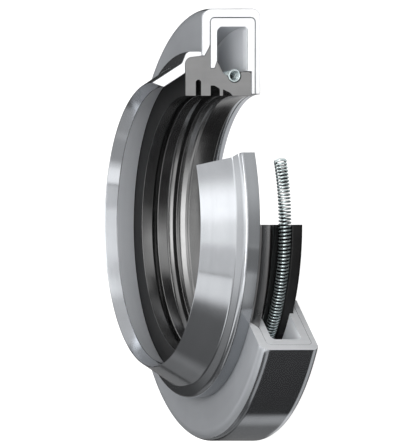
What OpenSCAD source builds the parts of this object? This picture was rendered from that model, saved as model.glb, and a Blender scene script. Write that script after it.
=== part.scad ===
// Double-cased radial shaft seal, built as the stepped cutaway that the photograph shows.
// The shaft axis is Z. The back of the outer case lies on Z = 0 and the cone points up.
// Every piece starts at one cut plane, on +X, and runs round the axis as far as its own sweep.
// Profiles are drawn in the plane of radius and height: the first number of a point is its
// distance from the axis, the second its height.

/* [Seal] */
// Diameter of the shaft that the lips run on
shaft_d = 60; // [56:0.5:64]
// Diameter of the housing bore that the outer case is pressed into
housing_d = 100; // [97:0.5:110]
// Width of the folded double case along the axis
case_w = 14.4; // [13.8:0.1:18]

/* [Cutaway] */
// Angle that the two metal cases run round the axis
case_sweep = 234.6; // [180:0.1:350]
// Angle that the rubber element runs round the axis
element_sweep = 270; // [180:1:350]
// Angle that the cone ring runs round the axis
ring_sweep = 294.7; // [180:0.1:350]
// Angle that the garter spring runs round the axis
spring_sweep = 295.5; // [180:0.1:350]

/* [Outer case] */
// Sheet thickness of the rim and the folded front flange
outer_wall = 2.05; // [1.7:0.05:2.5]
// Thickness of the back flange, which is pressed thinner
outer_back_wall = 1.25; // [1:0.05:1.6]
// Outside radius of the front fold
front_fold_r = 2.5; // [2:0.1:3.2]
// Outside radius of the back fold
back_fold_r = 1.9; // [1.5:0.1:2.6]
// Radius inside both folds, where the inner case nests
nest_r = 1.1; // [0.7:0.1:1.6]
// Flat left on the tip of the front flange
outer_tip_flat = 0.7; // [0.4:0.05:1.1]
// Height of the chamfer inside the tip of the front flange
outer_tip_bevel = 2.3; // [1.4:0.1:3]

/* [Inner case] */
// Wall of the inner rim, under the outer one
inner_rim_wall = 2.15; // [1.6:0.05:2.6]
// Wall of the inner front flange, which carries the rubber
inner_front_wall = 1.7; // [1.3:0.05:2.2]
// Wall of the inner back flange
inner_back_wall = 1.95; // [1.5:0.05:2.4]
// Wall left behind the rubber, where the back flange is relieved
relief_wall = 0.9; // [0.6:0.05:1.2]
// Radius of the hollow at its front corner
hollow_front_r = 1.2; // [0.5:0.1:1.8]
// Radius of the hollow at its back corner
hollow_back_r = 0.7; // [0.4:0.1:1.2]
// Flat left on the tip of the front flange
inner_tip_flat = 1.05; // [0.7:0.05:1.3]
// Height of the chamfer on the tip of the front flange
inner_tip_bevel = 1.7; // [0.9:0.1:2.2]

/* [Cone ring] */
// Wall of the straight collar that grips the rubber
collar_wall = 1.5; // [1.2:0.05:1.7]
// How far the collar overlaps the front flange of the outer case
collar_lap = 1.05; // [0.7:0.05:1.4]
// How far the cone starts below the outside of the collar
cone_step = 2.25; // [2:0.05:2.6]
// Lean of the neck between collar and cone, away from square
neck_lean = 23; // [16:1:28]
// Distance from the rubber's front face back to the bend in the collar
neck_inset = 0.4; // [0.2:0.05:0.7]
// Outside radius of the bend from the collar into the neck
neck_r = 1.3; // [0.8:0.1:1.5]
// Radius where the neck runs out into the cone
cone_root_r = 0.9; // [0.4:0.1:1.2]
// Slope of the cone against the shaft axis
cone_angle = 31.5; // [27:0.5:35]
// Length of the cone beyond the rubber
cone_l = 8.2; // [6.5:0.1:10]
// Wall of the cone
cone_wall = 2.35; // [2:0.05:2.6]
// Length of the flared lead-in inside the mouth of the cone
lead_l = 2.9; // [2:0.1:3.4]

/* [Rubber element] */
// How far the lips are smaller than the shaft radius
lip_grip = 0.2; // [0.1:0.05:0.4]
// How far the rubber stands out in front of the case
nose_l = 4.1; // [3.6:0.1:5]
// Rubber between the lips' bore and the tip of the inner flange
insert_rise = 6.35; // [6:0.05:7.2]
// Step from the tip of the inner flange up to the tip of the outer one
fold_step = 2.9; // [2.5:0.05:3.4]
// Width of the spring-loaded main lip
main_lip_w = 4.65; // [4.2:0.05:5.2]
// Height of the shoulder behind the spring above the spring's centre line
shoulder_rise = 0.93; // [0.6:0.01:1.1]
// Radius on the shoulder's outer edge
shoulder_edge_r = 0.45; // [0.2:0.05:0.6]
// Height of the ledge in front of the spring above the spring's centre line
ledge_rise = 0.7; // [0.3:0.05:1]
// Distance from the spring's centre line forward to the ledge
ledge_reach = 2.85; // [2.5:0.05:3.1]
// Radius on the ledge's edge
ledge_edge_r = 0.3; // [0.1:0.05:0.6]
// How far the rubber's point under the front flange stops short of the chamfer's end
point_short = 0.35; // [0.2:0.05:0.6]
// Width of the pointed groove beside the main lip
wedge_w = 2.3; // [1.8:0.05:2.6]
// Depth of the pointed groove
wedge_depth = 1.45; // [1:0.05:1.8]
// How far up the pointed groove its long side swells, as a share of the depth
wedge_swell_up = 0.7; // [0.6:0.05:0.8]
// How far from the main lip the swelling lies, as a share of the width
wedge_swell_along = 0.45; // [0.35:0.05:0.5]
// Radius of the swelling
wedge_swell_r = 0.9; // [0.4:0.1:1.2]
// Width of the thin second lip
thin_lip_w = 0.85; // [0.6:0.05:1.1]
// Width of the square groove
square_groove_w = 2.2; // [1.8:0.05:2.5]
// Depth of the square groove
square_groove_depth = 2.35; // [1.8:0.05:3]
// Radius in the back corner of the square groove
square_groove_r = 0.8; // [0.3:0.1:1.2]
// Width of the third lip
third_lip_w = 2.4; // [1.8:0.05:2.9]
// Width of the round-topped groove
round_groove_w = 1.25; // [0.9:0.05:1.6]
// Depth of the round-topped groove
round_groove_depth = 3.7; // [2.5:0.05:4.4]
// Radius on the rubber's front edge, inside the cone ring
nose_r = 1.3; // [0.8:0.1:1.8]

/* [Garter spring] */
// Radius from the lips' bore to the spring's centre line
spring_rise = 4.65; // [4.4:0.05:5]
// Distance from the rubber's back face to the spring's centre line
spring_inset = 4.15; // [3.9:0.05:4.3]
// Outside diameter of the coil
coil_d = 3.1; // [2.6:0.1:3.3]
// Diameter of the wire
wire_d = 0.5; // [0.35:0.05:0.6]
// Distance from one turn to the next
coil_pitch = 0.81; // [0.8:0.01:1.4]

/* [Fits] */
// Radial clearance of the metal flanges round the shaft
case_clear = 0.15; // [0.1:0.05:0.5]
// Gap where one metal piece seats against another
seat_gap = 0.05; // [0.03:0.01:0.1]
// Gap where the rubber is bonded to metal
bond_gap = 0.02; // [0.02:0.01:0.05]
// Gap between the spring and its groove
spring_gap = 0.05; // [0.03:0.01:0.15]

/* [Hidden] */
$fn = 96;
arc_steps = 8;
wire_sides = 4;
steps_per_turn = 6;
tool_overrun = 1;
edge_r = 0.15;

// Radii, from the shaft outwards
housing_r = housing_d / 2;
lip_r = shaft_d / 2 - lip_grip;
case_bore_r = shaft_d / 2 + case_clear;
spring_r = lip_r + spring_rise;
shoulder_r = spring_r + shoulder_rise;
insert_r = lip_r + insert_rise;
fold_r = insert_r + fold_step;
collar_r = fold_r + collar_lap;
collar_bore_r = collar_r - collar_wall;
nest_outer_r = housing_r - outer_wall;
hollow_r = nest_outer_r - seat_gap - inner_rim_wall;

// Heights, from the back face up
nest_back_z = outer_back_wall;
nest_front_z = case_w - outer_wall;
insert_back_z = nest_back_z + seat_gap;
insert_front_z = nest_front_z - seat_gap;
hollow_back_z = insert_back_z + inner_back_wall;
hollow_front_z = insert_front_z - inner_front_wall;
element_back_z = insert_back_z + relief_wall + bond_gap;
spring_z = element_back_z + spring_inset;
collar_back_z = case_w + seat_gap;
face_z = case_w + nose_l;
tip_z = face_z + cone_l;

// Half a wire, as an angle, which keeps the coil's ends inside its sweep
end_inset = asin(wire_d / 2 / spring_r);

// Radius of the outside and the inside of the cone at a height
function cone_r(z) = collar_r - cone_step - (z - face_z) * tan(cone_angle);
function cone_bore_r(z) = cone_r(z) - cone_wall / cos(cone_angle);

// One corner of an outline as an arc, between the straight runs a-b and b-c
function unit(v) = v / norm(v);
function corner(a, b, c, rad) =
    rad == 0 ? [b] :
    let (
        u = unit(a - b),
        v = unit(c - b),
        half = acos(u * v) / 2,
        centre = b + unit(u + v) * rad / sin(half),
        out = b + u * rad / tan(half) - centre,
        from = atan2(out[1], out[0]),
        turn = sign(cross(b - a, c - b)) * (180 - 2 * half)
    )
    [for (i = [0 : arc_steps])
        centre + rad * [cos(from + turn * i / arc_steps), sin(from + turn * i / arc_steps)]];

// Closed outline through points [radius, height, corner radius]
function flat_point(p) = [p[0], p[1]];
function outline(points) =
    let (n = len(points))
    [for (i = [0 : n - 1])
        each corner(
            flat_point(points[(i + n - 1) % n]),
            flat_point(points[i]),
            flat_point(points[(i + 1) % n]),
            points[i][2])];

module ring_of(sweep) {
    rotate_extrude(angle = sweep) children();
}

// Outer case: one sheet folded round the inner case, back flange, rim and front flange
module outer_case() {
    color([0.66, 0.68, 0.70])
        ring_of(case_sweep)
            polygon(outline([
                [case_bore_r, 0, 0],
                [housing_r, 0, back_fold_r],
                [housing_r, case_w, front_fold_r],
                [fold_r, case_w, 0],
                [fold_r, case_w - outer_tip_flat, 0],
                [fold_r + outer_tip_bevel, nest_front_z, 0],
                [nest_outer_r, nest_front_z, nest_r],
                [nest_outer_r, nest_back_z, nest_r],
                [case_bore_r, nest_back_z, 0]]));
}

// Inner case: a stiff channel whose front flange carries the rubber
module inner_case() {
    rim_r = nest_outer_r - seat_gap;
    bend_r = nest_r - seat_gap;
    relief_z = insert_back_z + relief_wall;
    relief_r = shoulder_r + bond_gap;
    color([0.72, 0.74, 0.76])
        ring_of(case_sweep)
            polygon(outline([
                [case_bore_r, insert_back_z, 0],
                [rim_r, insert_back_z, bend_r],
                [rim_r, insert_front_z, bend_r],
                [insert_r, insert_front_z, 0],
                [insert_r, insert_front_z - inner_tip_flat, 0],
                [insert_r + inner_tip_bevel, hollow_front_z, 0],
                [hollow_r, hollow_front_z, hollow_front_r],
                [hollow_r, hollow_back_z, hollow_back_r],
                [relief_r, hollow_back_z, 0],
                [relief_r, relief_z, 0],
                [case_bore_r, relief_z, 0]]));
}

// The room that the inner front flange takes in the rubber, with the bond gap all round
module flange_slot() {
    slot_r = insert_r - bond_gap;
    polygon([
        [slot_r, insert_front_z + bond_gap],
        [slot_r, insert_front_z - inner_tip_flat - bond_gap],
        [slot_r + inner_tip_bevel, hollow_front_z - bond_gap],
        [housing_r, hollow_front_z - bond_gap],
        [housing_r, insert_front_z + bond_gap]]);
}

// Grooves that part the lips, from the main lip towards the nose
module lip_grooves() {
    open_r = lip_r - tool_overrun;
    wedge_z = element_back_z + main_lip_w;
    thin_z = wedge_z + wedge_w;
    square_z = thin_z + thin_lip_w;
    round_z = square_z + square_groove_w + third_lip_w;
    round_top_r = round_groove_w / 2;
    // Pointed groove, steep against the thin lip and swelling out over the main lip
    polygon(outline([
        [open_r, wedge_z, 0],
        [lip_r, wedge_z, 0],
        [lip_r + wedge_depth * wedge_swell_up, wedge_z + wedge_w * wedge_swell_along, wedge_swell_r],
        [lip_r + wedge_depth, thin_z, 0],
        [open_r, thin_z, 0]]));
    // Square groove, round in the corner next to the thin lip
    polygon(outline([
        [open_r, square_z, 0],
        [lip_r + square_groove_depth, square_z, square_groove_r],
        [lip_r + square_groove_depth, square_z + square_groove_w, edge_r],
        [open_r, square_z + square_groove_w, 0]]));
    // Deep groove with a round top
    translate([open_r, round_z])
        square([round_groove_depth - round_top_r + lip_r - open_r, round_groove_w]);
    translate([lip_r + round_groove_depth - round_top_r, round_z + round_top_r])
        circle(r = round_top_r);
}

// Rubber element: lips, spring groove, the neck round the inner flange and the nose
module sealing_element() {
    pocket_r = coil_d / 2 + spring_gap;
    flange_mid_z = (hollow_front_z + insert_front_z) / 2;
    bevel_slope = (outer_wall - outer_tip_flat) / outer_tip_bevel;
    bevel_r = fold_r - bond_gap;
    bevel_z = case_w - outer_tip_flat - bond_gap;
    point_rise = outer_tip_bevel - point_short;
    // The slope up to the ledge starts inside the groove's circle, which cuts its foot away
    foot_r = spring_r - pocket_r / 3;
    foot_z = spring_z + pocket_r * 3 / 4;
    color([0.16, 0.16, 0.17])
        ring_of(element_sweep)
            difference() {
                polygon(outline([
                    [lip_r, element_back_z, 0],
                    [shoulder_r, element_back_z, shoulder_edge_r],
                    [shoulder_r, spring_z - pocket_r, edge_r],
                    [spring_r, spring_z, 0],
                    [foot_r, foot_z, 0],
                    [spring_r + ledge_rise, spring_z + ledge_reach, ledge_edge_r],
                    [insert_r + inner_tip_bevel, flange_mid_z, 0],
                    [bevel_r + point_rise, flange_mid_z, 0],
                    [bevel_r + point_rise, bevel_z - point_rise * bevel_slope, 0],
                    [bevel_r, bevel_z, 0],
                    [bevel_r, collar_back_z - bond_gap, 0],
                    [collar_bore_r - bond_gap, collar_back_z - bond_gap, 0],
                    [collar_bore_r - bond_gap, face_z - bond_gap, nose_r],
                    [lip_r, face_z - bond_gap, 0]]));
                translate([spring_r, spring_z]) circle(r = pocket_r);
                flange_slot();
                lip_grooves();
            }
}

// Garter spring: a close coil of wire bent round the axis, swept as one closed tube
module garter_spring() {
    coil_r = (coil_d - wire_d) / 2;
    wire_r = wire_d / 2;
    run = spring_sweep - 2 * end_inset;
    turns = floor(spring_r * run * PI / 180 / coil_pitch);
    rings = turns * steps_per_turn;
    points = [
        for (i = [0 : rings])
            let (
                around = end_inset + run * i / rings,
                wind = 360 * i / steps_per_turn
            )
            for (j = [0 : wire_sides - 1])
                let (
                    side = 360 * j / wire_sides,
                    off = coil_r + wire_r * cos(side),
                    rad = spring_r + off * cos(wind),
                    along = wire_r * sin(side)
                )
                [rad * cos(around) - along * sin(around),
                 rad * sin(around) + along * cos(around),
                 spring_z + off * sin(wind)]];
    skin = [
        for (i = [0 : rings - 1])
            for (j = [0 : wire_sides - 1])
                let (
                    k = (j + 1) % wire_sides,
                    a = i * wire_sides,
                    b = a + wire_sides
                )
                each [[a + j, a + k, b + k], [a + j, b + k, b + j]]];
    first_end = [for (j = [wire_sides - 1 : -1 : 0]) j];
    last_end = [for (j = [0 : wire_sides - 1]) rings * wire_sides + j];
    color([0.75, 0.80, 0.82])
        polyhedron(points = points, faces = concat([first_end], skin, [last_end]));
}

// Cone ring: collar on the rubber's nose, a necked bend and a cone with a flared mouth
module cone_ring() {
    neck_drop = tan(neck_lean);
    neck_z = face_z - neck_inset;
    slope = tan(cone_angle);
    // Where the neck's straight run meets the outside of the cone
    root_r = (collar_r - cone_step - (neck_z + neck_drop * collar_r - face_z) * slope)
        / (1 - neck_drop * slope);
    root_z = neck_z + neck_drop * (collar_r - root_r);
    lead_z = tip_z - lead_l;
    color([0.70, 0.72, 0.74])
        ring_of(ring_sweep)
            polygon(outline([
                [collar_bore_r, collar_back_z, 0],
                [collar_r, collar_back_z, edge_r],
                [collar_r, neck_z, neck_r],
                [root_r, root_z, cone_root_r],
                [cone_r(tip_z), tip_z, edge_r],
                [cone_bore_r(lead_z), lead_z, 0],
                [cone_bore_r(face_z), face_z, 0],
                [collar_bore_r, face_z, nose_r]]));
}

outer_case();
inner_case();
sealing_element();
garter_spring();
cone_ring();
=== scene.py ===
"""Radial shaft seal in a stepped cutaway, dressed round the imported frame.

Five pieces are modelled: two folded steel cases, a moulded rubber element, a garter spring and
a steel cone ring. A ring is traced as a flat outline, its corners are rounded, and it is spun
round the shaft axis, Z. The spring is wound straight and then bent round that axis. Sizes are in
millimetres until they reach the mesh.
"""

import logging
import math
from collections.abc import Callable, Sequence
from dataclasses import dataclass, field
from enum import Enum

import bmesh
import bpy
from mathutils import Matrix, Vector


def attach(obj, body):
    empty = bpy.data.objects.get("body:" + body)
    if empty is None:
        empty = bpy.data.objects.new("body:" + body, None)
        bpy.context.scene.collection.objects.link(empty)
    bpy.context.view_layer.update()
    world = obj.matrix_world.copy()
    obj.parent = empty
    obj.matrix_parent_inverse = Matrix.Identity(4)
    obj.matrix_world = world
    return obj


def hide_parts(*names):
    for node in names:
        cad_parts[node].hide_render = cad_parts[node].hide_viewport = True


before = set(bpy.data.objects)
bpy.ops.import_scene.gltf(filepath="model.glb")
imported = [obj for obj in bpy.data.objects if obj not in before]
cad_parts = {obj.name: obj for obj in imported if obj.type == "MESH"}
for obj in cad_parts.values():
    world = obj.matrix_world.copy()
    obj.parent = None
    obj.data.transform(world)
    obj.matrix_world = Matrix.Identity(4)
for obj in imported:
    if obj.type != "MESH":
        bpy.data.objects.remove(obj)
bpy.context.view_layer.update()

LOG = logging.getLogger("shaft_seal")
Colour = tuple[float, float, float]
Socket = bpy.types.NodeSocket
Feed = Socket | float
Part = bmesh.types.BMVert | bmesh.types.BMEdge | bmesh.types.BMFace

MM = 0.001
# How close two places are, in metres, to be merged, to be the same corner, or to be in a cut plane.
MERGED, SAME_CORNER, IN_PLANE = 1e-7, 1e-6, 1e-5
# Degrees that both cases run round the axis.
CASE_SWEEP = 234.6
# Radius and height of the spring's centreline, which its groove and its painted shade follow too.
SPRING_RING, SPRING_HEIGHT = 34.45, 6.37
WHITE = (1.0, 1.0, 1.0, 1.0)


# Modelling moves


@dataclass(frozen=True)
class Corner:
    """One corner of a ring's outline: distance from the axis, height and rounding."""

    out: float
    up: float
    rounding: float = 0.0
    steps: int = 8


class SelectBy(Enum):
    """What a selection in edit mode picks."""

    POINTS = "VERT"
    EDGES = "EDGE"
    FACES = "FACE"


class Skin(Enum):
    """Where a spun piece wears each of its five finishes, as the index of the material slot."""

    OUTSIDE = 0
    FIRST_CUT = 1
    LAST_CUT = 2
    INSIDE = 3
    FACE = 4


class Bench:
    """Edit mode moves on one piece, in the order in which they are made by hand."""

    def __init__(self, name: str) -> None:
        """Starts a piece from one point on the axis.

        Args:
            name: name of the new piece.
        """
        bpy.ops.object.select_all(action="DESELECT")
        bpy.ops.mesh.primitive_plane_add(size=MM, location=(0, 0, 0))
        self.piece: bpy.types.Object = bpy.context.object
        self.piece.name = name
        self.piece.data.name = name
        self.place = Vector((0, 0, 0))
        bpy.ops.object.mode_set(mode="EDIT")
        bpy.ops.mesh.select_all(action="SELECT")
        bpy.ops.mesh.merge(type="CENTER")

    def pick(self, by: SelectBy, test: Callable[[Part], bool]) -> None:
        """Selects the points, edges or faces that pass a test.

        Args:
            by: what is picked.
            test: says for each one whether it is picked.
        """
        bpy.ops.mesh.select_mode(type=by.value)
        bpy.ops.mesh.select_all(action="DESELECT")
        mesh = bmesh.from_edit_mesh(self.piece.data)
        parts = {SelectBy.POINTS: mesh.verts, SelectBy.EDGES: mesh.edges, SelectBy.FACES: mesh.faces}[by]
        for part in [part for part in parts if test(part)]:
            part.select_set(True)
        bmesh.update_edit_mesh(self.piece.data)

    def trace(self, outline: Sequence[Corner]) -> None:
        """Draws a closed outline point by point in the plane of +X and Z, and fills it.

        Args:
            outline: the corners in order.
        """
        first = self.at(outline[0])
        bpy.ops.mesh.select_all(action="SELECT")
        bpy.ops.transform.translate(value=first - self.place)
        self.place = first
        for corner in outline[1:]:
            there = self.at(corner)
            bpy.ops.mesh.extrude_vertices_move(TRANSFORM_OT_translate={"value": there - self.place})
            self.place = there
        bpy.ops.mesh.select_all(action="SELECT")
        bpy.ops.mesh.edge_face_add()

    @staticmethod
    def at(corner: Corner) -> Vector:
        """Gives a corner's place in metres."""
        return Vector((corner.out * MM, 0, corner.up * MM))

    def round_corners(self, outline: Sequence[Corner]) -> None:
        """Rounds each corner of a traced outline that has a rounding.

        Args:
            outline: the corners that were traced.
        """
        count = len(outline)
        for i, corner in enumerate(outline):
            if not corner.rounding:
                continue
            here = self.at(corner)
            back = (self.at(outline[i - 1]) - here).normalized()
            on = (self.at(outline[(i + 1) % count]) - here).normalized()
            run = corner.rounding * MM / math.tan(back.angle(on) / 2)
            self.pick(SelectBy.POINTS, lambda point: (point.co - here).length < SAME_CORNER)
            bpy.ops.mesh.bevel(
                affect="VERTICES", offset_type="ABSOLUTE", offset=run,
                segments=corner.steps, profile=0.5, clamp_overlap=False)

    def spin(self, sweep: float, step: float = 1.5) -> None:
        """Spins the outline round the shaft axis, from +X through +Y.

        Args:
            sweep: angle of the ring, in degrees.
            step: angle of one step, in degrees.
        """
        bpy.ops.mesh.select_all(action="SELECT")
        bpy.ops.mesh.spin(
            steps=round(sweep / step), angle=-math.radians(sweep),
            center=(0, 0, 0), axis=(0, 0, 1), use_auto_merge=False)
        self.merge()
        bpy.ops.mesh.normals_make_consistent(inside=False)

    @staticmethod
    def merge() -> None:
        """Merges points that lie on one another."""
        bpy.ops.mesh.select_all(action="SELECT")
        bpy.ops.mesh.remove_doubles(threshold=MERGED)

    def break_edges(self, angle: float, width: float, steps: int = 2) -> None:
        """Takes the sharpness off the edges of a cut face.

        Args:
            angle: angle of the cut plane round the axis, in degrees.
            width: width of the broken edge, in millimetres.
            steps: facets across the broken edge.
        """
        plane = CutPlane(angle)
        self.pick(SelectBy.EDGES, lambda edge: all(plane.holds(point.co) for point in edge.verts))
        bpy.ops.mesh.bevel(
            affect="EDGES", offset_type="OFFSET", offset=width * MM,
            segments=steps, profile=0.5, clamp_overlap=True)
        self.merge()

    def give(self, skin: Skin, test: Callable[[Part], bool]) -> None:
        """Gives the faces that pass a test one of the piece's finishes.

        Args:
            skin: the finish.
            test: says for each face whether it gets the finish.
        """
        self.pick(SelectBy.FACES, test)
        self.piece.active_material_index = skin.value
        bpy.ops.object.material_slot_assign()

    def done(self, smooth: float = 40.0, weight: int = 80) -> bpy.types.Object:
        """Leaves edit mode, shades the piece and weighs its normals by face size.

        Args:
            smooth: largest angle between faces that is shaded as one surface, in degrees.
            weight: how much more a large face counts than a small one.

        Returns:
            The finished piece.
        """
        bpy.ops.object.mode_set(mode="OBJECT")
        bpy.ops.object.select_all(action="DESELECT")
        self.piece.select_set(True)
        bpy.context.view_layer.objects.active = self.piece
        bpy.ops.object.shade_smooth_by_angle(angle=math.radians(smooth))
        weigh = self.piece.modifiers.new("weigh", "WEIGHTED_NORMAL")
        weigh.keep_sharp = True
        weigh.weight = weight
        bpy.ops.object.modifier_apply(modifier=weigh.name)
        return self.piece


@dataclass(frozen=True)
class CutPlane:
    """A plane through the shaft axis where a ring starts or ends."""

    angle: float

    def holds(self, place: Vector) -> bool:
        """Says whether a point lies in this half plane."""
        turned = Matrix.Rotation(-math.radians(self.angle), 3, "Z") @ place
        return abs(turned.y) < IN_PLANE and turned.x > 0

    def facing(self, face: bmesh.types.BMFace) -> bool:
        """Says whether a face lies in this half plane."""
        return all(self.holds(point.co) for point in face.verts)


def place_of(face: bmesh.types.BMFace) -> tuple[float, float]:
    """Gives a face's distance from the shaft axis and its height, in millimetres."""
    middle = face.calc_center_median()
    return math.hypot(middle.x, middle.y) / MM, middle.z / MM


# Finishes


class Recipe:
    """A material under construction, with its shader and short ways to wire it."""

    def __init__(self, name: str) -> None:
        """Starts a node material.

        Args:
            name: name of the material.
        """
        self.material = bpy.data.materials.new(name)
        self.material.use_nodes = True
        self.nodes = self.material.node_tree.nodes
        self.links = self.material.node_tree.links
        self.shader = next(node for node in self.nodes if node.type == "BSDF_PRINCIPLED")

    @classmethod
    def of_tree(cls, tree: bpy.types.NodeTree) -> "Recipe":
        """Wires a node tree that belongs to no material.

        Args:
            tree: the node tree.

        Returns:
            A recipe without a material and a shader.
        """
        recipe = cls.__new__(cls)
        recipe.nodes, recipe.links = tree.nodes, tree.links
        return recipe

    def add(self, kind: str, **settings: object) -> bpy.types.Node:
        """Adds a node.

        Args:
            kind: the node's type name.
            settings: properties to set on it.

        Returns:
            The new node.
        """
        node = self.nodes.new(kind)
        for key, value in settings.items():
            setattr(node, key, value)
        return node

    def wire(self, source: object, target: Socket) -> None:
        """Links a socket to a node's input, or sets the input to a plain number or colour."""
        if isinstance(source, Socket):
            self.links.new(source, target)
        else:
            target.default_value = source

    def dress(self, inputs: dict[str, object]) -> None:
        """Feeds or sets inputs of the shader.

        Args:
            inputs: socket, number or colour for each named input.
        """
        for name, source in inputs.items():
            self.wire(source, self.shader.inputs[name])

    def maths(self, operation: str, first: Feed, second: Feed | None = None) -> Socket:
        """Adds a maths node and feeds it.

        Args:
            operation: what the node does.
            first: socket or number for its first input.
            second: socket or number for its second input.

        Returns:
            The result's socket.
        """
        node = self.add("ShaderNodeMath", operation=operation)
        for index, value in enumerate((first, second)):
            if value is not None:
                self.wire(value, node.inputs[index])
        return node.outputs[0]

    def length(self, first: Socket, second: Socket) -> Socket:
        """Gives the length of a way from its parts along two axes.

        Args:
            first: the part along one axis.
            second: the part along the other axis.

        Returns:
            The length's socket.
        """
        squares = [self.maths("MULTIPLY", part, part) for part in (first, second)]
        return self.maths("SQRT", self.maths("ADD", *squares))

    def mixture(self, first: Socket, second: Socket, share: float) -> Socket:
        """Adds two patterns up in fixed shares.

        Args:
            first: the first pattern.
            second: the second pattern.
            share: share of the first pattern.

        Returns:
            The mixture's socket.
        """
        return self.maths(
            "ADD", self.maths("MULTIPLY", first, share), self.maths("MULTIPLY", second, 1 - share))

    def spread(self, source: Socket, low: float, high: float,
               start: float = 0.3, end: float = 0.7) -> Socket:
        """Maps a pattern's middle values to a range.

        Args:
            source: the pattern.
            low: value at the pattern's start.
            high: value at the pattern's end.
            start: pattern value that gives low.
            end: pattern value that gives high.

        Returns:
            The mapped value's socket.
        """
        node = self.add("ShaderNodeMapRange")
        self.wire(source, node.inputs["Value"])
        for key, value in (("From Min", start), ("From Max", end), ("To Min", low), ("To Max", high)):
            node.inputs[key].default_value = value
        return node.outputs[0]

    def soft_step(self, source: Socket, middle: float, width: float) -> Socket:
        """Steps smoothly from 0 to 1 where a value passes a threshold.

        Args:
            source: the value.
            middle: the threshold.
            width: range over which the step is spread.

        Returns:
            The step's socket.
        """
        node = self.add("ShaderNodeMapRange", interpolation_type="SMOOTHSTEP")
        self.wire(source, node.inputs["Value"])
        node.inputs["From Min"].default_value = middle - width / 2
        node.inputs["From Max"].default_value = middle + width / 2
        return node.outputs[0]

    def noise(self, place: Socket, scale: float, detail: float = 3.0,
              roughness: float = 0.5) -> Socket:
        """Adds a noise pattern.

        Args:
            place: coordinates that it is read at.
            scale: features per metre.
            detail: octaves of finer noise.
            roughness: strength of the finer noise.

        Returns:
            The pattern's value socket.
        """
        node = self.add("ShaderNodeTexNoise")
        self.wire(place, node.inputs["Vector"])
        for key, value in (("Scale", scale), ("Detail", detail), ("Roughness", roughness)):
            node.inputs[key].default_value = value
        return node.outputs["Fac"]

    def blend(self, factor: Socket, low: Colour | Socket, high: Colour | Socket) -> Socket:
        """Mixes two colours by a factor.

        Args:
            factor: 0 for the first colour, 1 for the second.
            low: colour or socket for the first colour.
            high: colour or socket for the second colour.

        Returns:
            The mixed colour's socket.
        """
        node = self.add("ShaderNodeMix", data_type="RGBA")
        self.wire(factor, node.inputs["Factor"])
        for name, colour in (("A", low), ("B", high)):
            self.wire(colour if isinstance(colour, Socket) else (*colour, 1), node.inputs[name])
        return node.outputs["Result"]

    def bump(self, height: Socket, depth: float, strength: float = 1.0) -> None:
        """Raises the surface by a pattern.

        Args:
            height: the pattern, from 0 to 1.
            depth: height of the pattern, in millimetres.
            strength: share of it that shows.
        """
        node = self.add("ShaderNodeBump")
        node.inputs["Strength"].default_value = strength
        node.inputs["Distance"].default_value = depth * MM
        self.wire(height, node.inputs["Height"])
        self.wire(node.outputs["Normal"], self.shader.inputs["Normal"])

    def place(self, coordinates: str = "Object") -> Socket:
        """Gives the object coordinates, or the direction with which the world is read (Generated)."""
        return self.add("ShaderNodeTexCoord").outputs[coordinates]

    def split(self, place: Socket) -> tuple[Socket, Socket, Socket]:
        """Gives the X, Y and Z of a place."""
        node = self.add("ShaderNodeSeparateXYZ")
        self.wire(place, node.inputs[0])
        return tuple(node.outputs)

    def across_turning(self, place: Socket) -> Socket:
        """Gives coordinates that change only across the marks of a lathe tool.

        Args:
            place: object coordinates, with the lathe's axis on Z.

        Returns:
            Distance from the axis and height, as a vector socket.
        """
        east, north, up = self.split(place)
        join = self.add("ShaderNodeCombineXYZ")
        self.wire(self.length(east, north), join.inputs["X"])
        self.wire(up, join.inputs["Z"])
        return join.outputs[0]

    def seen_directly(self, path: bpy.types.Node) -> Socket:
        """Gives 1 for the camera's rays and for rays through something clear, and 0 for the others."""
        return self.maths("MAXIMUM", path.outputs["Is Camera Ray"], path.outputs["Is Transmission Ray"])


@dataclass(frozen=True)
class Span:
    """A range of one coordinate, and how far each of its ends is blurred."""

    low: float
    high: float
    low_blur: float
    high_blur: float

    def share(self, recipe: Recipe, place: Socket) -> Socket:
        """Gives 1 inside the range and 0 outside.

        Args:
            recipe: the node tree that it is built in.
            place: the coordinate.

        Returns:
            The share's socket.
        """
        rise = recipe.soft_step(place, self.low, self.low_blur)
        fall = recipe.soft_step(place, self.high, self.high_blur)
        return recipe.maths("SUBTRACT", rise, fall)


@dataclass(frozen=True)
class TurnedSteel:
    """Satin sheet steel with fine marks round the axis and faint smudges."""

    name: str
    tint: Colour
    shade: Colour
    metallic: float
    roughness: float = 0.13
    smudge: float = 0.03
    streak: float = 0.04
    grain: float = 0.45
    grain_turn: float = 0.25
    marks: float = 0.0007
    line_scale: float = 2600
    band_scale: float = 420
    cloud_scale: float = 95
    band_share: float = 0.4

    def material(self) -> bpy.types.Material:
        """Builds the material."""
        recipe = Recipe(self.name)
        place = recipe.place()
        across = recipe.across_turning(place)
        lines = recipe.noise(across, self.line_scale, detail=4, roughness=0.6)
        bands = recipe.noise(across, self.band_scale, detail=2)
        cloud = recipe.noise(place, self.cloud_scale, detail=4, roughness=0.6)
        patina = recipe.mixture(bands, cloud, self.band_share)
        gloss = recipe.maths(
            "ADD",
            recipe.spread(cloud, self.roughness - self.smudge / 2, self.roughness + self.smudge / 2),
            recipe.spread(lines, -self.streak / 2, self.streak / 2))
        tangent = recipe.add("ShaderNodeTangent", direction_type="RADIAL", axis="Z")
        recipe.dress({
            "Base Color": recipe.blend(recipe.spread(patina, 0, 1), self.shade, self.tint),
            "Roughness": gloss,
            "Metallic": self.metallic,
            "Anisotropic": self.grain,
            "Anisotropic Rotation": self.grain_turn,
            "Tangent": tangent.outputs[0],
        })
        recipe.bump(lines, self.marks)
        return recipe.material


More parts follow.
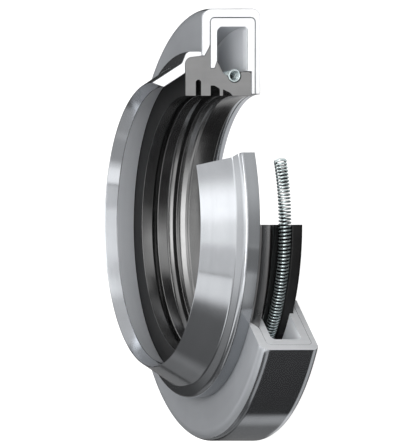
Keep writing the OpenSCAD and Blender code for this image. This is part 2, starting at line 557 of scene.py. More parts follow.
@dataclass(frozen=True)
class CutFace:
    """A sawn and ground section: even colour, fine parallel scratches, a faint sheen."""

    name: str
    tint: Colour
    shade: Colour
    roughness: float = 0.55
    uneven: float = 0.06
    metallic: float = 0.0
    scratches: float = 900
    stretch: tuple[float, float, float] = (1.0, 1.0, 0.12)
    depth: float = 0.004
    strength: float = 0.5
    cloud_scale: float = 260
    stroke_share: float = 0.5

    def material(self) -> bpy.types.Material:
        """Builds the material."""
        recipe = Recipe(self.name)
        place = recipe.place()
        along = recipe.add("ShaderNodeMapping")
        recipe.wire(self.stretch, along.inputs["Scale"])
        recipe.wire(place, along.inputs["Vector"])
        strokes = recipe.noise(along.outputs[0], self.scratches, detail=5, roughness=0.65)
        cloud = recipe.noise(place, self.cloud_scale, detail=2)
        mixed = recipe.mixture(strokes, cloud, self.stroke_share)
        recipe.dress({
            "Base Color": recipe.blend(recipe.spread(mixed, 0, 1), self.shade, self.tint),
            "Roughness": recipe.spread(strokes, self.roughness - self.uneven, self.roughness + self.uneven),
            "Metallic": self.metallic,
        })
        recipe.bump(strokes, self.depth, self.strength)
        return recipe.material


@dataclass(frozen=True)
class MouldedRubber:
    """Black seal rubber: a glossy moulded skin with a little bloom and fine texture.

    The density is the refractive index, which sets how strongly the skin mirrors.
    """

    name: str
    roughness: float
    density: float
    tint: Colour = (0.005, 0.005, 0.0052)
    bloom: Colour = (0.013, 0.013, 0.0132)
    bloom_from: float = 0.4
    bloom_full: float = 0.75
    bloom_scale: float = 130
    smoother: float = 0.04
    rougher: float = 0.06
    grain_scale: float = 2400
    grain_depth: float = 0.002
    grain_strength: float = 0.4

    def material(self) -> bpy.types.Material:
        """Builds the material."""
        recipe = Recipe(self.name)
        place = recipe.place()
        cloud = recipe.noise(place, self.bloom_scale, detail=4, roughness=0.6)
        fine = recipe.noise(place, self.grain_scale, detail=3)
        bloomed = recipe.spread(cloud, 0, 1, self.bloom_from, self.bloom_full)
        recipe.dress({
            "Base Color": recipe.blend(bloomed, self.tint, self.bloom),
            "Roughness": recipe.spread(cloud, self.roughness - self.smoother, self.roughness + self.rougher),
            "IOR": self.density,
            "Specular IOR Level": 1.0,
        })
        recipe.bump(fine, self.grain_depth, self.grain_strength)
        return recipe.material


@dataclass(frozen=True)
class SpringWire:
    """Bright drawn wire with a blue-green film, and painted shade on the inside of its turns.

    The painted shade darkens the half of the wire that faces the coil's centreline, and is left out close to the
    first cut, over a range of Y.
    """

    name: str
    unshaded_from: float
    unshaded_blur: float = 0.12
    shade_gap: Span = Span(-2.0, 5.0, 1.0, 4.0)
    tint: Colour = (0.84, 0.92, 0.92)
    film: Colour = (0.60, 0.71, 0.72)
    painted_shade: Colour = (0.02, 0.025, 0.026)
    roughness: float = 0.16
    smudge: float = 0.1
    metallic: float = 0.85
    film_scale: float = 700
    grain_scale: float = 5200
    grain_depth: float = 0.002
    grain_strength: float = 0.4

    def material(self) -> bpy.types.Material:
        """Builds the material."""
        recipe = Recipe(self.name)
        place = recipe.place()
        cloud = recipe.noise(place, self.film_scale, detail=3)
        bright = recipe.blend(recipe.spread(cloud, 0, 1), self.film, self.tint)
        east, north, up = recipe.split(place)
        # Painted shade: the half of the wire nearer the coil's centreline gets the dark colour, except over a range
        # of Y near the first cut.
        from_centreline = recipe.length(
            recipe.maths("SUBTRACT", recipe.length(east, north), SPRING_RING * MM),
            recipe.maths("SUBTRACT", up, SPRING_HEIGHT * MM))
        outside = recipe.soft_step(recipe.maths("DIVIDE", from_centreline, MM), self.unshaded_from, self.unshaded_blur)
        shade_gap = self.shade_gap.share(recipe, recipe.maths("DIVIDE", north, MM))
        unshaded = recipe.maths("MAXIMUM", outside, shade_gap)
        recipe.dress({
            "Base Color": recipe.blend(unshaded, self.painted_shade, bright),
            "Roughness": recipe.spread(cloud, self.roughness, self.roughness + self.smudge),
            "Metallic": self.metallic,
        })
        recipe.bump(recipe.noise(place, self.grain_scale, detail=2), self.grain_depth, self.grain_strength)
        return recipe.material


@dataclass(frozen=True)
class Finishes:
    """The materials of the whole seal, made once and shared by its pieces."""

    case_skin: bpy.types.Material
    case_face: bpy.types.Material
    ring_skin: bpy.types.Material
    collar_skin: bpy.types.Material
    inside_skin: bpy.types.Material
    hollow_skin: bpy.types.Material
    white_cut: bpy.types.Material
    grey_cut: bpy.types.Material
    rubber_skin: bpy.types.Material
    lip_skin: bpy.types.Material
    face_skin: bpy.types.Material
    rubber_cut: bpy.types.Material
    wire: bpy.types.Material

    @classmethod
    def mix(cls) -> "Finishes":
        """Makes every material."""
        return cls(
            case_skin=TurnedSteel("case_steel", tint=(0.66, 0.685, 0.72), shade=(0.59, 0.61, 0.645),
                                  marks=0.0004, metallic=0.97).material(),
            case_face=TurnedSteel("case_face_steel", tint=(0.655, 0.68, 0.715), shade=(0.585, 0.605, 0.64),
                                  roughness=0.32, marks=0.0004, metallic=0.65).material(),
            # Painted shade: a darker copy of the cone ring's steel, worn on the outside of the collar.
            collar_skin=TurnedSteel("collar_steel_painted_shade", tint=(0.40, 0.415, 0.435), shade=(0.34, 0.355, 0.37),
                                    roughness=0.15, metallic=0.95).material(),
            ring_skin=TurnedSteel("cone_ring_steel", tint=(0.68, 0.70, 0.73), shade=(0.59, 0.61, 0.64),
                                  metallic=0.95).material(),
            inside_skin=TurnedSteel("inside_steel", tint=(0.66, 0.68, 0.71), shade=(0.58, 0.60, 0.63),
                                    roughness=0.36, grain=0.2, metallic=0.2).material(),
            # Painted light: a near-white, almost non-metallic copy of the case steel, so the channel's hollow looks
            # lit.
            hollow_skin=TurnedSteel("hollow_steel_painted_light", tint=(0.95, 0.97, 1.0), shade=(0.90, 0.92, 0.95),
                                    roughness=0.4, grain=0.0, metallic=0.05).material(),
            white_cut=CutFace("ground_section", (0.93, 0.935, 0.94), (0.88, 0.89, 0.90)).material(),
            grey_cut=CutFace("ground_end", (0.75, 0.76, 0.78), (0.67, 0.68, 0.70), roughness=0.4,
                             metallic=0.25).material(),
            rubber_skin=MouldedRubber("rubber_skin", roughness=0.3, density=2.1).material(),
            lip_skin=MouldedRubber("rubber_lips", roughness=0.18, density=2.2, tint=(0.011, 0.011, 0.0113),
                                   bloom=(0.022, 0.022, 0.0223)).material(),
            face_skin=MouldedRubber("rubber_face", roughness=0.5, density=1.3).material(),
            rubber_cut=CutFace("rubber_section", (0.25, 0.25, 0.25), (0.212, 0.212, 0.214), roughness=0.75,
                               scratches=700, depth=0.01).material(),
            wire=SpringWire("spring_wire", unshaded_from=1.3).material(),
        )


# The seal's pieces


@dataclass
class SealPiece:
    """A piece of the seal, which stands for one node of the frame."""

    node: str
    slot: str
    sweep: float

    def hand_over(self, piece: bpy.types.Object) -> None:
        """Puts the finished piece in the place of its node.

        Args:
            piece: the finished piece.
        """
        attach(piece, "root")
        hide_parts(self.node)
        LOG.info("%s: %d faces for %s", piece.name, len(piece.data.polygons), self.node)


@dataclass
class SpunPiece(SealPiece):
    """A ring that is traced, rounded, spun and dressed."""

    edge_break: float
    end_break: float = 0.03
    tiny: float = 0.15

    def crisp(self, out: float, up: float) -> Corner:
        """Gives a corner with the piece's smallest rounding."""
        return Corner(out, up, self.tiny, steps=3)

    def outline(self) -> list[Corner]:
        """Gives the corners of the section."""
        raise NotImplementedError

    def skins(self, finishes: Finishes) -> list[bpy.types.Material]:
        """Gives the piece's five materials, in the order of Skin."""
        raise NotImplementedError

    def is_inside(self, face: bmesh.types.BMFace) -> bool:
        """Says whether a face gets the finish of the piece's inside."""
        return False

    def is_face(self, face: bmesh.types.BMFace) -> bool:
        """Says whether a face gets the piece's fifth finish."""
        return False

    def build(self, finishes: Finishes) -> bpy.types.Object:
        """Models the piece and dresses it.

        Args:
            finishes: the seal's materials.

        Returns:
            The finished piece.
        """
        corners = self.outline()
        bench = Bench(f"{self.node}_dressed")
        bench.trace(corners)
        bench.round_corners(corners)
        bench.spin(self.sweep)
        cuts = ((Skin.FIRST_CUT, 0.0, self.edge_break), (Skin.LAST_CUT, self.sweep, self.end_break))
        for _, angle, width in cuts:
            bench.break_edges(angle, width)
        for material in self.skins(finishes):
            bench.piece.data.materials.append(material)
        bench.give(Skin.OUTSIDE, lambda face: True)
        bench.give(Skin.INSIDE, self.is_inside)
        bench.give(Skin.FACE, self.is_face)
        for skin, angle, _ in cuts:
            bench.give(skin, CutPlane(angle).facing)
        piece = bench.done()
        self.hand_over(piece)
        return piece


@dataclass
class OuterCase(SpunPiece):
    """The outer sheet: back flange, rim and front flange, folded round the inner case."""

    node: str = "outer_case"
    slot: str = "outer_case_steel"
    sweep: float = CASE_SWEEP
    edge_break: float = 0.22
    bore: float = 30.15
    rim: float = 50.0
    width: float = 14.4
    wall: float = 2.05
    back_wall: float = 1.25
    front_fold: float = 2.5
    back_fold: float = 1.9
    nest: float = 1.1
    tip: float = 39.05
    tip_flat: float = 0.7
    tip_round: float = 0.3
    tip_bevel: float = 2.3
    bevel_round: float = 2.0
    face_depth: float = 1.1

    def outline(self) -> list[Corner]:
        """Gives the corners of the section."""
        inner, front = self.rim - self.wall, self.width - self.wall
        return [
            self.crisp(self.bore, 0),
            Corner(self.rim, 0, self.back_fold, steps=9),
            Corner(self.rim, self.width, self.front_fold, steps=12),
            Corner(self.tip, self.width, self.tip_round, steps=4),
            self.crisp(self.tip, self.width - self.tip_flat),
            Corner(self.tip + self.tip_bevel, front, self.bevel_round, steps=6),
            Corner(inner, front, self.nest),
            Corner(inner, self.back_wall, self.nest),
            self.crisp(self.bore, self.back_wall),
        ]

    def skins(self, finishes: Finishes) -> list[bpy.types.Material]:
        """Gives the piece's five materials, in the order of Skin."""
        return [finishes.case_skin, finishes.white_cut, finishes.grey_cut, finishes.inside_skin,
                finishes.case_face]

    def is_face(self, face: bmesh.types.BMFace) -> bool:
        """Says whether a face belongs to the front flange, up to the middle of its fold."""
        return place_of(face)[1] > self.width - self.face_depth


@dataclass
class InnerCase(SpunPiece):
    """The inner channel, whose front flange carries the rubber."""

    node: str = "inner_case"
    slot: str = "inner_case_steel"
    sweep: float = CASE_SWEEP
    edge_break: float = 0.16
    bore: float = 30.15
    rim: float = 47.9
    back: float = 1.3
    front: float = 12.3
    bend: float = 1.05
    hollow_rim: float = 45.75
    hollow_back: float = 3.25
    hollow_front: float = 10.6
    hollow_back_round: float = 0.7
    hollow_front_round: float = 1.2
    tip: float = 36.15
    tip_flat: float = 1.05
    tip_round: float = 0.25
    tip_bevel: float = 1.7
    bevel_round: float = 1.2
    relief: float = 2.2
    relief_edge: float = 35.4
    near_wall: float = 0.01
    near_rim: float = 0.1

    def outline(self) -> list[Corner]:
        """Gives the corners of the section."""
        return [
            self.crisp(self.bore, self.back),
            Corner(self.rim, self.back, self.bend),
            Corner(self.rim, self.front, self.bend),
            Corner(self.tip, self.front, self.tip_round, steps=4),
            Corner(self.tip, self.front - self.tip_flat, self.tip_round, steps=3),
            Corner(self.tip + self.tip_bevel, self.hollow_front, self.bevel_round, steps=5),
            Corner(self.hollow_rim, self.hollow_front, self.hollow_front_round, steps=9),
            Corner(self.hollow_rim, self.hollow_back, self.hollow_back_round),
            self.crisp(self.relief_edge, self.hollow_back),
            Corner(self.relief_edge, self.relief),
            self.crisp(self.bore, self.relief),
        ]

    def skins(self, finishes: Finishes) -> list[bpy.types.Material]:
        """Gives the piece's five materials, in the order of Skin."""
        return [finishes.case_skin, finishes.white_cut, finishes.grey_cut, finishes.hollow_skin,
                finishes.inside_skin]

    # Faces in the hollow get the painted light; the hollow's rim wall keeps the grey inside steel and reads darker.
    def is_inside(self, face: bmesh.types.BMFace) -> bool:
        """Says whether a face lies in the hollow of the channel."""
        out, up = place_of(face)
        between_walls = self.hollow_back - self.near_wall < up < self.hollow_front + self.near_wall
        return self.tip < out < self.hollow_rim + self.near_wall and between_walls

    def is_face(self, face: bmesh.types.BMFace) -> bool:
        """Says whether a face belongs to the hollow's rim."""
        out, up = place_of(face)
        return abs(out - self.hollow_rim) < self.near_rim and self.hollow_back < up < self.hollow_front


@dataclass
class ConeRing(SpunPiece):
    """The steel ring on the rubber's nose: collar, necked bend, cone and flared mouth."""

    node: str = "cone_ring"
    slot: str = "cone_ring_steel"
    sweep: float = 294.7
    edge_break: float = 0.08
    collar: float = 40.1
    collar_bore: float = 38.6
    collar_bore_back: float = 39.02
    collar_back: float = 14.45
    face: float = 18.5
    neck_inset: float = 0.4
    neck_lean: float = 23.0
    neck_round: float = 1.3
    root_round: float = 0.9
    inner_round: float = 1.6
    cone_step: float = 2.25
    slope: float = 31.5
    cone_wall: float = 2.35
    mouth: float = 26.7
    lead: float = 2.9
    lead_round: float = 0.3
    lead_edge: float = 0.05
    collar_depth: float = 0.2
    collar_stop: float = 1.2
    facing_axis: float = -0.5

    def outside(self, height: float) -> float:
        """Gives the radius of the cone's outside at a height."""
        return self.collar - self.cone_step - (height - self.face) * math.tan(math.radians(self.slope))

    def inside(self, height: float) -> float:
        """Gives the radius of the cone's inside at a height."""
        return self.outside(height) - self.cone_wall / math.cos(math.radians(self.slope))

    def outline(self) -> list[Corner]:
        """Gives the corners of the section."""
        drop, slope = math.tan(math.radians(self.neck_lean)), math.tan(math.radians(self.slope))
        neck = self.face - self.neck_inset
        root = (self.collar - self.cone_step - (neck + drop * self.collar - self.face) * slope) / (1 - drop * slope)
        lead = self.mouth - self.lead
        return [
            self.crisp(self.collar_bore_back, self.collar_back),
            self.crisp(self.collar, self.collar_back),
            Corner(self.collar, neck, self.neck_round, steps=12),
            Corner(root, neck + drop * (self.collar - root), self.root_round),
            self.crisp(self.outside(self.mouth), self.mouth),
            Corner(self.inside(lead), lead, self.lead_round, steps=4),
            Corner(self.inside(self.face), self.face, self.lead_round, steps=3),
            Corner(self.collar_bore, self.face, self.inner_round),
        ]

    def skins(self, finishes: Finishes) -> list[bpy.types.Material]:
        """Gives the piece's five materials, in the order of Skin."""
        return [finishes.ring_skin, finishes.white_cut, finishes.grey_cut, finishes.inside_skin,
                finishes.collar_skin]

    def is_inside(self, face: bmesh.types.BMFace) -> bool:
        """Says whether a face lies on the bore of the cone, under the mouth."""
        middle = face.calc_center_median()
        outward = Vector((middle.x, middle.y, 0)).normalized()
        under_mouth = middle.z / MM < self.mouth - self.lead - self.lead_edge
        return under_mouth and face.normal.dot(outward) < self.facing_axis

    # The collar's outside gets the darker steel copy, painted shade.
    def is_face(self, face: bmesh.types.BMFace) -> bool:
        """Says whether a face belongs to the outside of the collar."""
        out, up = place_of(face)
        return out > self.collar - self.collar_depth and up < self.face - self.collar_stop


@dataclass(frozen=True)
class Groove:
    """A groove between two lips: height of its back wall, width and depth."""

    back: float
    width: float
    depth: float

    @property
    def front(self) -> float:
        """Height of its front wall."""
        return self.back + self.width


@dataclass
class SealingElement(SpunPiece):
    """The moulded rubber: four lips, their grooves, the spring's groove, the neck and the nose."""

    node: str = "sealing_element"
    slot: str = "rubber"
    sweep: float = 270.0
    edge_break: float = 0.06
    bore: float = 29.8
    back: float = 2.22
    face: float = 18.48
    shoulder: float = 35.38
    shoulder_round: float = 0.7
    pocket: float = 1.6
    pocket_lean: float = 9.0
    pocket_steps: int = 20
    pocket_rim: float = 0.35
    pocket_rim_steps: int = 3
    ledge_out: float = 35.15
    ledge_up: float = 9.22
    ledge_round: float = 0.3
    slot_tip: float = 36.13
    slot_front: float = 12.32
    slot_back: float = 10.58
    slot_flat: float = 11.23
    slot_bevel: float = 1.7
    slot_round: float = 0.2
    lip_round: float = 0.12
    wedge: Groove = Groove(6.87, 2.3, 1.45)
    wedge_knee: tuple[float, float] = (0.42, 0.2)
    wedge_round: float = 1.4
    square: Groove = Groove(10.02, 2.2, 2.35)
    square_floor: tuple[float, float] = (0.7, 0.6)
    square_rounds: tuple[float, float] = (0.5, 1.0)
    channel: Groove = Groove(14.62, 1.25, 3.7)
    channel_round: float = 0.49
    point_out: float = 40.98
    point_slope: float = 1.35 / 2.3
    bevel_out: float = 39.03
    bevel_up: float = 13.68
    step_up: float = 14.43
    nose: float = 38.58
    nose_back: float = 39.0
    nose_round: float = 1.6
    near: float = 0.1
    lip_depth: float = 1.0

    def pocket_walls(self) -> list[Corner]:
        """Gives the corners of the round groove that the spring lies in, up to its rounded rim."""
        start = math.radians(90 + self.pocket_lean)
        end = 2 * math.pi - math.acos((self.shoulder - SPRING_RING) / self.pocket)
        walls = []
        for step in range(self.pocket_steps + 1 - self.pocket_rim_steps):
            turn = start + (end - start) * step / self.pocket_steps
            walls.append(Corner(SPRING_RING + self.pocket * math.cos(turn),
                                SPRING_HEIGHT + self.pocket * math.sin(turn)))
        rim = Corner(self.shoulder, SPRING_HEIGHT + self.pocket * math.sin(end), self.pocket_rim, steps=5)
        return [*walls, rim]

    def groove_walls(self) -> list[Corner]:
        """Gives the corners of the three grooves between the lips."""
        bore, wedge, square, channel = self.bore, self.wedge, self.square, self.channel
        knee_depth, knee_width = self.wedge_knee
        floor_depth, floor_width = self.square_floor
        first_round, second_round = self.square_rounds
        channel_round = channel.width * self.channel_round
        return [
            self.crisp(bore, wedge.back),
            Corner(bore + wedge.depth * knee_depth, wedge.back + wedge.width * knee_width, self.wedge_round),
            Corner(bore + wedge.depth, wedge.front),
            Corner(bore, wedge.front, self.lip_round, steps=3),
            Corner(bore, square.back, self.lip_round, steps=3),
            Corner(bore + square.depth * floor_depth, square.back, first_round),
            Corner(bore + square.depth, square.back + square.width * floor_width, second_round),
            self.crisp(bore + square.depth, square.front),
            self.crisp(bore, square.front),
            self.crisp(bore, channel.back),
            Corner(bore + channel.depth, channel.back, channel_round),
            Corner(bore + channel.depth, channel.front, channel_round),
            self.crisp(bore, channel.front),
        ]

    def outline(self) -> list[Corner]:
        """Gives the corners of the section, round by the lips, the face, the neck and the spring."""
        point_back = self.bevel_up - (self.point_out - self.bevel_out) * self.point_slope
        return [
            self.crisp(self.bore, self.back),
            *self.groove_walls(),
            self.crisp(self.bore, self.face),
            Corner(self.nose, self.face, self.nose_round),
            Corner(self.nose_back, self.step_up),
            Corner(self.bevel_out, self.bevel_up),
            Corner(self.point_out, point_back),
            Corner(self.point_out, self.slot_front),
            Corner(self.slot_tip, self.slot_front, self.slot_round, steps=3),
            Corner(self.slot_tip, self.slot_flat, self.slot_round, steps=3),
            Corner(self.slot_tip + self.slot_bevel, self.slot_back),
            Corner(self.ledge_out, self.ledge_up, self.ledge_round, steps=5),
            *self.pocket_walls(),
            Corner(self.shoulder, self.back, self.shoulder_round, steps=6),
        ]

    def skins(self, finishes: Finishes) -> list[bpy.types.Material]:
        """Gives the piece's five materials, in the order of Skin."""
        return [finishes.rubber_skin, finishes.rubber_cut, finishes.rubber_cut, finishes.lip_skin,
                finishes.face_skin]

    def is_inside(self, face: bmesh.types.BMFace) -> bool:
        """Says whether a face belongs to the lips or the grooves between them."""
        out, up = place_of(face)
        deep = self.wedge.depth if up < self.square.back else self.channel.depth
        return out < self.bore + deep + self.near and self.back + self.near < up < self.face - self.near

    def is_face(self, face: bmesh.types.BMFace) -> bool:
        """Says whether a face belongs to the flat front, the shoulder or the spring's groove."""
        out, up = place_of(face)
        by_spring = out > self.bore + self.lip_depth and up < self.ledge_up and not self.is_inside(face)
        return up > self.face - self.near or by_spring


@dataclass
class GarterSpring(SealPiece):
    """A close coil of round wire, wound straight and then bent round the axis."""

    node: str = "garter_spring"
    slot: str = "spring_steel"
    sweep: float = 295.5
    coil: float = 3.1
    wire: float = 0.5
    pitch: float = 0.81
    sides: int = 6
    end_sides: int = 8
    steps: int = 16
    smooth: float = 75.0

    def wind(self) -> bpy.types.Object:
        """Winds the straight coil along X.

        Returns:
            The coil, with a closed turn at each end.
        """
        length = SPRING_RING * math.radians(self.sweep) - self.wire
        turns = round(length / self.pitch)
        bpy.ops.object.select_all(action="DESELECT")
        bpy.ops.mesh.primitive_circle_add(
            vertices=self.sides, radius=self.wire / 2 * MM,
            location=((self.coil - self.wire) / 2 * MM, 0, 0), rotation=(math.radians(90), 0, 0))
        piece = bpy.context.object
        piece.name = piece.data.name = f"{self.node}_dressed"
        self.settle()
        screw = piece.modifiers.new("wind", "SCREW")
        screw.axis = "Z"
        screw.screw_offset = length / turns * MM
        screw.iterations = turns
        screw.steps = screw.render_steps = self.steps
        bpy.ops.object.modifier_apply(modifier=screw.name)
        ends = [self.closed_turn(up) for up in (0.0, length * MM)]
        bpy.ops.object.select_all(action="DESELECT")
        for end in (*ends, piece):
            end.select_set(True)
        bpy.context.view_layer.objects.active = piece
        bpy.ops.object.join()
        bpy.ops.object.mode_set(mode="EDIT")
        bpy.ops.mesh.select_mode(type="EDGE")
        bpy.ops.mesh.select_all(action="DESELECT")
        bpy.ops.mesh.select_non_manifold()
        bpy.ops.mesh.edge_face_add()
        bpy.ops.mesh.select_all(action="SELECT")
        bpy.ops.mesh.normals_make_consistent(inside=False)
        bpy.ops.object.mode_set(mode="OBJECT")
        return piece

    def closed_turn(self, up: float) -> bpy.types.Object:
        """Makes the turn without pitch that closes an end of the coil.

        Args:
            up: height of the turn on the straight coil, in metres.

        Returns:
            The turn.
        """
        bpy.ops.mesh.primitive_torus_add(
            major_segments=self.steps * 2, minor_segments=self.end_sides, location=(0, 0, up),
            major_radius=(self.coil - self.wire) / 2 * MM, minor_radius=self.wire / 2 * MM)
        turn = bpy.context.object
        self.settle()
        return turn

    @staticmethod
    def settle() -> None:
        """Puts the selected object's place and turn into its mesh."""
        bpy.ops.object.transform_apply(location=True, rotation=True, scale=True)

    def build(self, finishes: Finishes) -> bpy.types.Object:
        """Winds, bends, places and dresses the spring.

        Args:
            finishes: the seal's materials.

        Returns:
            The finished spring.
        """
        piece = self.wind()
        piece.rotation_euler = (0, math.radians(90), 0)
        self.settle()
        bend = piece.modifiers.new("bend", "SIMPLE_DEFORM")
        bend.deform_method = "BEND"
        bend.deform_axis = "Z"
        bend.angle = piece.dimensions.x / (SPRING_RING * MM)
        bpy.ops.object.modifier_apply(modifier=bend.name)
        piece.location = (0, -SPRING_RING * MM, 0)
        self.settle()
        piece.rotation_euler = (0, 0, math.radians(90) + self.wire / 2 / SPRING_RING)
        piece.location = (0, 0, SPRING_HEIGHT * MM)
        self.settle()
        bpy.ops.object.shade_smooth_by_angle(angle=math.radians(self.smooth))
        piece.data.materials.append(finishes.wire)
        self.hand_over(piece)
        return piece


# Stage


@dataclass(frozen=True)
class View:
    """The camera's axes in the shared frame: its right, its up and the way back to the camera."""

    right: Vector = field(default_factory=lambda: Vector((0, -0.338, -0.9411)))
    up: Vector = field(default_factory=lambda: Vector((1, 0, 0)))
    back: Vector = field(default_factory=lambda: Vector((0, -0.9411, 0.338)))

    def towards(self, right: float, up: float, back: float) -> Vector:
        """Gives a direction that is stated as the camera sees it."""
        return (self.right * right + self.up * up + self.back * back).normalized()

    def turn(self) -> Matrix:
        """Gives the camera's rotation."""
        return Matrix((self.right, self.up, self.back)).transposed()


@dataclass(frozen=True)
class SoftBox:
    """A square studio light that looks at the seal and isn't mirrored in it.

    Its way from the seal is stated as the camera sees it, and its distance and side in metres.
    """

    name: str
    right: float
    up: float
    back: float
    side: float
    level: float
    distance: float = 0.8

    def build(self, view: View, centre: Vector) -> None:
        """Hangs the light.

        Args:
            view: the camera's axes.
            centre: the point that the light looks at.
        """
        way = view.towards(self.right, self.up, self.back)
        bpy.ops.object.light_add(type="AREA", location=centre + way * self.distance)
        lamp = bpy.context.object
        lamp.name = self.name
        upright = view.up if abs(way.dot(view.up)) < 0.9 else view.back
        across = upright.cross(way).normalized()
        lamp.rotation_euler = Matrix((across, way.cross(across), way)).transposed().to_euler()
        lamp.data.shape = "RECTANGLE"
        lamp.data.size = lamp.data.size_y = self.side
        lamp.data.energy = self.level * math.pi * self.side ** 2
        lamp.visible_glossy = False


@dataclass(frozen=True)
class Panel:
    """A soft white panel of the studio: two ranges and a level of light."""

    name: str
    first: Span
    second: Span
    level: float


@dataclass(frozen=True)
class CardGroup:
    """Cards that lie on the floor round one spot, stated in millimetres."""

    spot: tuple[float, float]
    cards: tuple[Panel, ...]


def add_panels(recipe: Recipe, panels: Sequence[Panel], first: Socket, second: Socket, ground: Feed) -> Feed:
    """Adds up the light of panels.

    Args:
        recipe: the node tree that they are built in.
        panels: the panels.
        first: the coordinate of each panel's first range.
        second: the coordinate of each panel's second range.
        ground: number or socket for the light where no panel hangs.

    Returns:
        The light's socket.
    """
    total = ground
    for panel in panels:
        share = recipe.maths("MULTIPLY", panel.first.share(recipe, first), panel.second.share(recipe, second))
        total = recipe.maths("ADD", recipe.maths("MULTIPLY", share, panel.level), total)
    return total


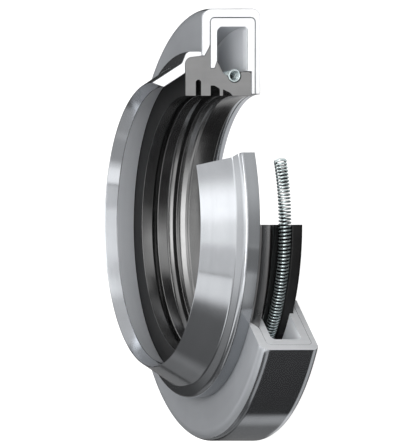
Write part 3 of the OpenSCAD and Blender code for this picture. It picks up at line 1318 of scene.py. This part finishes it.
@dataclass
class Stage:
    """Floor, world, lights and camera.

    A wall panel's ranges are its elevation towards +X and its angle over the seal, from the camera's
    side (-Y, 0) past the axis (90) to the far side (180), in degrees. A card's ranges are its angle
    round its group's spot, from +X (0) over the camera's side (90), and its distance from that spot.
    """

    pixel: float = 0.2313
    picture_height: int = 448
    centre: tuple[float, float, float] = (0.16, 0.0, 14.87)
    camera_distance: float = 0.6
    camera_reach: tuple[float, float] = (0.01, 20.0)
    floor_size: float = 4.0
    floor_drop: float = 0.02
    floor_grey: float = 0.3
    floor_white: float = 0.93
    wall_ground: float = 0.02
    card_ground: float = 0.025
    view: View = field(default_factory=View)
    lights: tuple[SoftBox, ...] = (
        SoftBox("front_box", 0.05, 0.05, 1.0, side=0.6, level=2.75),
        SoftBox("upper_box", 0.05, 0.66, 0.75, side=0.5, level=0.65),
        SoftBox("axis_box", -0.9, 0.0, 0.43, side=0.5, level=3.0),
    )
    walls: tuple[Panel, ...] = (
        Panel("low window", Span(-48, -32, 9, 1.5), Span(-60, 108, 10, 34), 0.9),
        Panel("low window by the camera", Span(-45, -33, 3, 1.5), Span(-60, 32, 10, 16), 0.25),
        Panel("low wall", Span(-74, -47, 10, 5), Span(-60, 58, 10, 34), 0.34),
        Panel("cone foot", Span(-70, -48, 10, 8), Span(60, 190, 20, 1), 0.05),
        Panel("far foot", Span(-56, -30, 12, 10), Span(154, 200, 12, 1), 0.13),
        Panel("foot wall", Span(-120, -72, 1, 8), Span(-220, 220, 1, 1), 0.33),
        Panel("wall", Span(-31, 56, 2, 40), Span(-60, 92, 10, 50), 0.62),
        Panel("high wall", Span(46, 66, 20, 14), Span(-60, 60, 10, 40), 0.4),
        Panel("ceiling", Span(66, 120, 14, 1), Span(-220, 220, 1, 1), 0.55),
        Panel("middle band", Span(-13, 27, 6, 14), Span(-60, 125, 10, 30), 0.30),
        Panel("upper band", Span(3, 23, 10, 14), Span(35, 118, 20, 30), 0.45),
        Panel("far band", Span(-18, 12, 14, 14), Span(98, 150, 24, 20), 0.36),
        Panel("spring window", Span(20, 60, 10, 14), Span(94, 146, 16, 16), 1.7),
        Panel("strip", Span(-30, 45, 30, 40), Span(24, 38, 3, 3), 2.0),
    )
    floor_cards: tuple[CardGroup, ...] = (
        CardGroup((0.0, 0.0), (
            Panel("back card", Span(-64, -15, 8, 20), Span(27.8, 45, 1.2, 12), 0.58),
            Panel("near card", Span(-25, 72, 30, 12), Span(32, 55, 12, 12), 0.8),
            Panel("wide card", Span(-20, 82, 30, 24), Span(62, 600, 14, 10), 0.45),
            Panel("collar card", Span(-20, 101.8, 30, 2), Span(66, 600, 14, 10), 0.45),
            Panel("collar gap card", Span(101, 116, 3, 3), Span(70, 600, 10, 10), 0.28),
            Panel("low card", Span(115, 134, 3, 12), Span(77, 130, 8, 40), 0.75),
            Panel("contact card", Span(105, 172, 10, 10), Span(49.5, 51.8, 1, 0.8), 0.45),
            Panel("lip card", Span(60, 118, 20, 20), Span(8, 34, 10, 10), 0.28),
            Panel("low back card", Span(185, 250, 12, 12), Span(92, 600, 10, 10), 0.15),
        )),
        CardGroup((-5.0, 25.0), (
            Panel("bore stripe", Span(52, 80, 12, 20), Span(3, 46, 4, 6), 0.8),
        )),
        CardGroup((-36.5, -28.9), (
            Panel("side card", Span(214.5, 224, 6, 10), Span(10, 60, 12, 20), 0.33),
            Panel("side end card", Span(222, 262, 8, 20), Span(10, 60, 12, 20), 0.13),
        )),
    )

    def build(self) -> None:
        """Sets the whole stage."""
        middle = Vector(self.centre) * MM
        self.lay_floor()
        self.fill_world()
        for light in self.lights:
            light.build(self.view, middle)
        self.place_camera(middle)
        bpy.context.scene.view_settings.view_transform = "Standard"
        cards = sum(len(group.cards) for group in self.floor_cards)
        LOG.info("stage: floor with %d cards, world with %d panels, %d lights and a camera",
                 cards, len(self.walls), len(self.lights))

    def lay_floor(self) -> None:
        """Lays a pale floor: white to the camera, with the seal's shadow, and cards for its metal to mirror."""
        bpy.ops.object.select_all(action="DESELECT")
        bpy.ops.mesh.primitive_plane_add(size=self.floor_size, location=(0, 0, -self.floor_drop * MM))
        floor = bpy.context.object
        floor.name = "floor"
        recipe = Recipe("floor_paper")
        path = recipe.add("ShaderNodeLightPath")
        glossy = path.outputs["Is Glossy Ray"]
        east, north, _ = recipe.split(recipe.place())
        cards: Feed = self.card_ground
        for group in self.floor_cards:
            ways = [recipe.maths("SUBTRACT", way, spot * MM) for way, spot in zip((east, north), group.spot)]
            turn = recipe.maths("ARCTAN2", *(recipe.maths("MULTIPLY", way, -1.0) for way in ways))
            angle = recipe.maths("ADD", recipe.maths("DEGREES", turn), 90.0)
            away = recipe.maths("DIVIDE", recipe.length(*ways), MM)
            cards = add_panels(recipe, group.cards, angle, away, cards)
        seen = recipe.maths(
            "ADD", recipe.maths("MULTIPLY", recipe.seen_directly(path), self.floor_white),
            recipe.maths("MULTIPLY", glossy, cards))
        recipe.dress({
            "Base Color": recipe.maths("MULTIPLY", recipe.maths("SUBTRACT", 1.0, glossy), self.floor_grey),
            "Roughness": 1.0,
            "Specular IOR Level": 0.0,
            "Emission Color": WHITE,
            "Emission Strength": seen,
        })
        floor.data.materials.append(recipe.material)

    def fill_world(self) -> None:
        """Hangs the wall panels in the world, which is white to the camera."""
        world = bpy.data.worlds.new("studio")
        bpy.context.scene.world = world
        world.use_nodes = True
        recipe = Recipe.of_tree(world.node_tree)
        background = next(node for node in recipe.nodes if node.type == "BACKGROUND")
        towards_x, towards_y, towards_z = recipe.split(recipe.place("Generated"))
        elevation = recipe.maths("DEGREES", recipe.maths("ARCSINE", towards_x))
        over = recipe.maths("ARCTAN2", towards_z, recipe.maths("MULTIPLY", towards_y, -1.0))
        walls = add_panels(recipe, self.walls, elevation, recipe.maths("DEGREES", over), self.wall_ground)
        direct = recipe.seen_directly(recipe.add("ShaderNodeLightPath"))
        recipe.wire(recipe.maths("MAXIMUM", walls, direct), background.inputs["Strength"])
        recipe.wire(WHITE, background.inputs["Color"])

    def place_camera(self, middle: Vector) -> None:
        """Places the camera at the photograph's angle, without perspective.

        Args:
            middle: the point at the middle of the picture.
        """
        bpy.ops.object.camera_add(location=middle + self.view.back * self.camera_distance)
        camera = bpy.context.object
        camera.name = "photo_camera"
        camera.rotation_euler = self.view.turn().to_euler()
        camera.data.type = "ORTHO"
        camera.data.ortho_scale = self.picture_height * self.pixel * MM
        camera.data.clip_start, camera.data.clip_end = self.camera_reach
        bpy.context.scene.camera = camera


def main() -> None:
    """Builds and dresses the seal, then the stage."""
    logging.basicConfig(level=logging.INFO, format="%(name)s: %(message)s")
    finishes = Finishes.mix()
    for part in (OuterCase(), InnerCase(), ConeRing(), SealingElement(), GarterSpring()):
        part.build(finishes)
    Stage().build()


if __name__ == "__main__":
    main()
